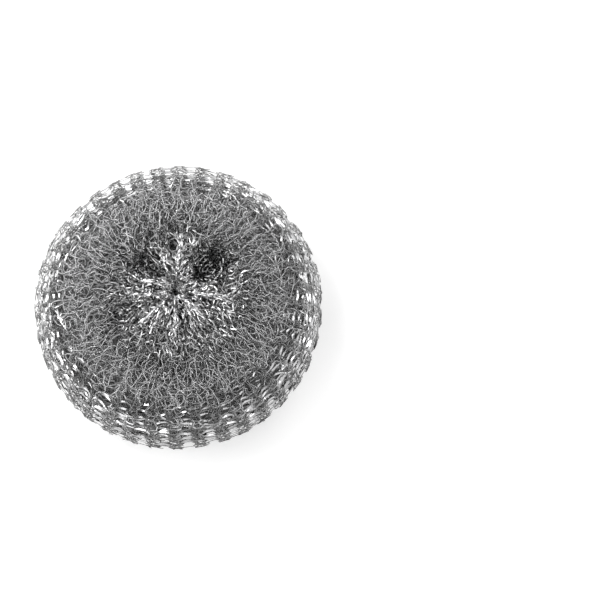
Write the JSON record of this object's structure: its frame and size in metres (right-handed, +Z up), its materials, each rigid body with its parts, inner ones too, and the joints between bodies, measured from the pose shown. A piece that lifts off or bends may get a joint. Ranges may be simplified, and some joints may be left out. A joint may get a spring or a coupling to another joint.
{
  "type": "metal scourer",
  "caption": "Round scouring pad of knitted steel wire, rolled in on itself and gathered to a pucker in the middle of both faces.",
  "frame": {"origin": "on the ground under the middle of the pad, which lies on its back face", "axes": "+Z up along the axis of the ring, out of the face with the deeper pucker; +X and +Y across the pad, with the top pucker a little towards +Y"},
  "size_m": [0.115, 0.1152, 0.045],
  "materials": {
    "steel_wire": "bright drawn steel wire, knitted, with sharp glints"
  },
  "bodies": {
    "root": {"knitted_mesh": "steel_wire"}
  },
  "joints": []
}
